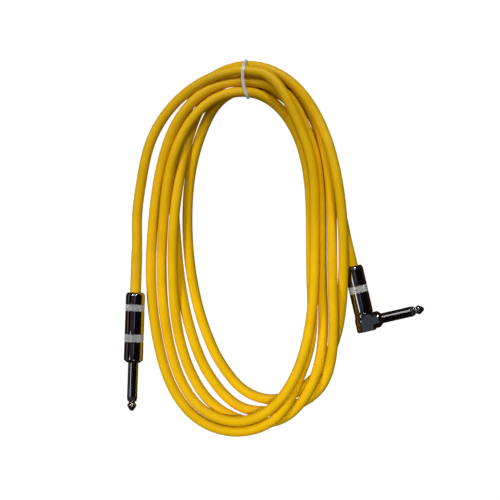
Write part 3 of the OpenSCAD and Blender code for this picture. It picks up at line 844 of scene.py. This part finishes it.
def elbowBody():
    # round at the barrel; the back swells a little towards the end, whose edge is rounded
    e, around, steps = elbow, turning["around"], elbow["heelSteps"]
    rows = [(0, -e["spigotLength"], 0), (e["spigot"], -e["spigotLength"], 0),
            (e["spigot"], 0, 0), (e["radius"] - e["lip"], 0, 0), (e["radius"], e["lip"], 0)]
    rows += [(e["radius"], e["heelStart"] * k / steps, (k / steps) ** 2)
             for k in range(2, steps + 1)]
    for a in range(0, 91, e["roundStep"]):
        inset = e["round"] * (1 - math.cos(math.radians(a)))
        height = e["length"] - e["round"] * (1 - math.sin(math.radians(a)))
        rows.append((e["radius"] - inset, height, 1))
    rows.append((0, e["length"], 1))
    verts, faces = [], []
    for r, z, swell in rows:
        for k in range(around):
            angle = 2 * math.pi * k / around
            x, y = r * math.cos(angle), r * math.sin(angle)
            back = 1 / (1 + math.exp(x / e["heelBlend"])) if r else 0
            verts.append(Vector((x - swell * e["heel"] * back, y, e["front"] + z)) * mm)
    for i in range(len(rows) - 1):
        for k in range(around):
            n = (k + 1) % around
            faces.append((i * around + k, i * around + n,
                          (i + 1) * around + n, (i + 1) * around + k))
    piece = meshObject("angleElbow", verts, faces)
    cleanUp(piece)
    return piece


def flatCutter(side):
    # an arch beside the barrel, open towards the end and over the collar
    e = elbow
    end = e["front"] + e["length"] + e["cutterPast"]
    middle = elbowAxis + e["archDrop"]
    outline = [(e["cutterReach"], end), (e["cutterReach"], middle)]
    outline += [(e["archShift"] + e["archRadius"] * math.cos(math.radians(a)),
                 middle - e["archRadius"] * math.sin(math.radians(a)))
                for a in range(0, 181, e["archStep"])]
    outline.append((e["archShift"] - e["archRadius"], end))
    shell = bmesh.new()
    near = [shell.verts.new((x * mm, side * e["flat"] * mm, z * mm)) for x, z in outline]
    far = [shell.verts.new((x * mm, side * e["cutterTop"] * mm, z * mm)) for x, z in outline]
    shell.faces.new(near)
    shell.faces.new(far)
    for i in range(len(near)):
        j = (i + 1) % len(near)
        shell.faces.new((near[i], near[j], far[j], far[i]))
    bmesh.ops.recalc_face_normals(shell, faces=shell.faces)
    mesh = bpy.data.meshes.new("flat")
    shell.to_mesh(mesh)
    shell.free()
    cutter = bpy.data.objects.new("flat", mesh)
    scene.collection.objects.link(cutter)
    return cutter


def makeElbow():
    e = elbow
    front, end = e["front"], e["front"] + e["length"]
    here = Matrix.Identity(4)
    side = Matrix.Translation((0, 0, elbowAxis * mm)) @ Matrix.Rotation(math.pi / 2, 4, "Y")
    piece = elbowBody()

    def rod(name, radius, low, high, edge, place):
        return lathe(name, [(0, low, 0), (radius, low, 0), (radius, high, edge), (0, high, 0)],
                     place, closed=False)

    boss = rod("boss", e["bossRadius"], e["bossStart"], e["bossLength"], e["bossEdge"], side)
    stub = rod("stub", e["stub"], *e["stubSpan"], 0, side)
    bore = rod("bore", e["bore"], e["boreStart"], end - e["floor"], 0, here)
    cutAway(piece, [(boss, "UNION"), (flatCutter(1), "DIFFERENCE"), (flatCutter(-1), "DIFFERENCE"),
                    (stub, "DIFFERENCE"), (bore, "DIFFERENCE")])
    threaded = lathe("neck", [
        (e["bore"], front - neck["length"], 0), (neck["radius"], front - neck["length"], 0),
        (neck["radius"], front, 0), (e["bore"], front, 0)], here,
        thread=(front - neck["length"], front, neck["pitch"], neck["depth"]))
    shell = bmesh.new()
    shell.from_mesh(piece.data)
    shell.from_mesh(threaded.data)
    shell.to_mesh(piece.data)
    shell.free()
    bpy.data.objects.remove(threaded)
    cleanUp(piece, e["sharpAngle"])
    piece.data.transform(anglePlace)
    return dress(piece, "brightMetal", "cable", "bright_metal", "angle_body")


angleElbow = makeElbow()
cutAway(angleShaft, [(flatCutter(1), "DIFFERENCE"), (flatCutter(-1), "DIFFERENCE")])
cleanUp(angleShaft, elbow["sharpAngle"])
angleShaft.data.transform(anglePlace)
angleSleeve = dress(angleShaft, "brightMetal", "cable", "bright_metal", "angle_sleeve")
print("elbow cut")


# relief sleeve, its outline as (radius, distance from the barrel's rear, rounding)
relief = {"around": 64, "outline": [
    (3.01, -26, 0.1), (3.36, -26, 0.1), (3.36, -25.6, 0.05), (3.16, -25.5, 0),
    (3.16, -25.1, 0), (3.32, -25, 0.05), (3.4, -22, 1), (3.4, 9, 0.1), (3.01, 9, 0)]}
dress(lathe("straightReliefSleeve", relief["outline"], straightPlace, around=relief["around"]),
      "relief", "cable", "relief", "straight_relief")
print("relief sleeve fitted")


# pieces that keep their solid's shape get their finish
kept = {
    "insulator": ["straight_bush", "straight_washer", "angle_bush", "angle_block"],
    "lug": ["straight_tip_lug", "straight_ground_lug", "angle_tip_lug", "angle_ground_lug"],
    "core": ["straight_core", "angle_core"],
    "copper": ["straight_shield", "angle_shield"],
    "solder": ["straight_tip_solder", "straight_ground_solder",
               "angle_tip_solder", "angle_ground_solder"],
    "liner": ["straight_liner", "angle_liner"],
}
for look, names in kept.items():
    for name in names:
        nodes[name].data.materials.clear()
        nodes[name].data.materials.append(finishes[look])
print("inner pieces finished")

dress(cablePiece, "jacket", "cable", "jacket", "cable_hank", "straight_lead", "angle_lead")


# floor and light: four narrow round lamps, in a dark room with panels for the metal to mirror
studio = {
    "floorSize": 12, "floorGlow": 0.97, "floorColour": (0.12, 0.12, 0.12),
    "floorRoughness": 0.9,
    "lampDistance": 0.75, "lampSize": 0.12,
    "lamps": [
        # direction from the cable, where it is aimed, power, spread in degrees, seen in metal
        ((-0.48, 0.60, 0.62), (-0.08, 0.085, 0), 0.043, 22, True),
        ((0.12, 0.74, 0.64), (0.045, 0.075, 0), 0.060, 24, True),
        ((-0.58, -0.08, 0.80), (-0.085, -0.07, 0), 0.064, 27, False),
        ((-0.10, -0.16, 0.98), (0.025, -0.095, 0), 0.084, 29, False),
    ],
}
floor = meshObject("floor", [
    Vector((x * studio["floorSize"] / 2, y * studio["floorSize"] / 2, 0))
    for x, y in ((-1, -1), (1, -1), (1, 1), (-1, 1))
], [(0, 1, 2, 3)])
floorFinish = bpy.data.materials.new("floor")
floorFinish.use_nodes = True
floorShader = floorFinish.node_tree.nodes["Principled BSDF"]
floorShader.inputs["Base Color"].default_value = (*studio["floorColour"], 1)
floorShader.inputs["Roughness"].default_value = studio["floorRoughness"]
floorShader.inputs["Emission Color"].default_value = (1, 1, 1, 1)
floorShader.inputs["Emission Strength"].default_value = studio["floorGlow"]
floor.data.materials.append(floorFinish)
floor.visible_diffuse = False
floor.visible_glossy = False
for number, (toward, aim, power, spread, mirrored) in enumerate(studio["lamps"]):
    light = bpy.data.lights.new(f"softbox{number}", "AREA")
    light.shape = "DISK"
    light.size = studio["lampSize"]
    light.energy = power
    light.spread = math.radians(spread)
    lamp = bpy.data.objects.new(f"softbox{number}", light)
    lamp.location = Vector(aim) + studio["lampDistance"] * Vector(toward).normalized()
    lamp.rotation_euler = Vector(toward).to_track_quat("Z", "Y").to_euler()
    lamp.visible_glossy = mirrored
    scene.collection.objects.link(lamp)

world = bpy.data.worlds.new("studio")
scene.world = world
world.use_nodes = True
sky = world.node_tree
skyWhere = nodeOf(sky, "ShaderNodeTexCoord").outputs["Generated"]


def skyMath(operation, *values):
    node = nodeOf(sky, "ShaderNodeMath", operation=operation)
    for slot, value in zip(node.inputs, values):
        if isinstance(value, (int, float)):
            slot.default_value = value
        else:
            sky.links.new(value, slot)
    return node.outputs[0]


def skyDot(direction):
    node = nodeOf(sky, "ShaderNodeVectorMath", operation="DOT_PRODUCT")
    sky.links.new(skyWhere, node.inputs[0])
    node.inputs[1].default_value = direction
    return node.outputs["Value"]


def skyStep(value, low, high):
    node = nodeOf(sky, "ShaderNodeMapRange", interpolation_type="SMOOTHSTEP")
    sky.links.new(value, node.inputs["Value"])
    node.inputs["From Min"].default_value = low
    node.inputs["From Max"].default_value = high
    return node.outputs["Result"]


def skyPatch(toward, width, height, soft):
    # a soft-edged oblong panel seen in one direction; sizes are half angles' tangents
    forward = Vector(toward).normalized()
    right = forward.cross(Vector((0, 0, 1))).normalized()
    up = right.cross(forward)
    ahead = skyDot(forward)
    across = skyMath("ABSOLUTE", skyMath("DIVIDE", skyDot(right), ahead))
    along = skyMath("ABSOLUTE", skyMath("DIVIDE", skyDot(up), ahead))
    inWidth = skyStep(across, width + soft, width)
    inHeight = skyStep(along, height + soft, height)
    inside = skyMath("MULTIPLY", inWidth, inHeight)
    return skyMath("MULTIPLY", inside, skyMath("GREATER_THAN", ahead, 0.05))


def skyAdd(total, share, colour):
    node = nodeOf(sky, "ShaderNodeMix", data_type="RGBA", blend_type="ADD")
    sky.links.new(share, node.inputs["Factor"])
    sky.links.new(total, node.inputs[6])
    node.inputs[7].default_value = (*colour, 1)
    return node.outputs[2]


room = {
    "below": (0.035, 0.018, 0.007), "dark": (0.006, 0.006, 0.008), "horizon": (-0.12, 0.02),
    "panels": [
        # direction, half width, half height, softness, colour
        ((-0.42, 0, 0.9), 5, 0.38, 0.08, (0.055, 0.032, 0.032)),
        ((0, 0.02, 1), 0.09, 0.09, 0.03, (0.10, 0.11, 0.135)),
        ((-0.08, 0.627, 0.778), 0.07, 0.08, 0.03, (2.9, 2.9, 3.0)),
        ((-0.72, -0.18, 0.67), 0.08, 0.09, 0.03, (1.6, 1.95, 2.4)),
        ((-1.0, 0.1, 0.06), 0.9, 0.10, 0.06, (0.19, 0.19, 0.19)),
        ((-0.576, 0.355, 0.734), 0.055, 0.055, 0.02, (8, 8, 8)),
        ((0.125, 0.37, 0.92), 0.05, 0.05, 0.02, (8, 8, 8)),
        ((0.12, -0.72, 0.68), 0.08, 0.08, 0.02, (5, 5, 5)),
    ],
}
base = nodeOf(sky, "ShaderNodeMix", data_type="RGBA")
sky.links.new(skyStep(skyDot((0, 0, 1)), *room["horizon"]), base.inputs["Factor"])
base.inputs[6].default_value = (*room["below"], 1)
base.inputs[7].default_value = (*room["dark"], 1)
roomLight = base.outputs[2]
for toward, width, height, soft, colour in room["panels"]:
    roomLight = skyAdd(roomLight, skyPatch(toward, width, height, soft), colour)
sky.links.new(roomLight, sky.nodes["Background"].inputs["Color"])
sky.nodes["Background"].inputs["Strength"].default_value = 1.0
scene.view_settings.view_transform = "Standard"
print("floor and light set")
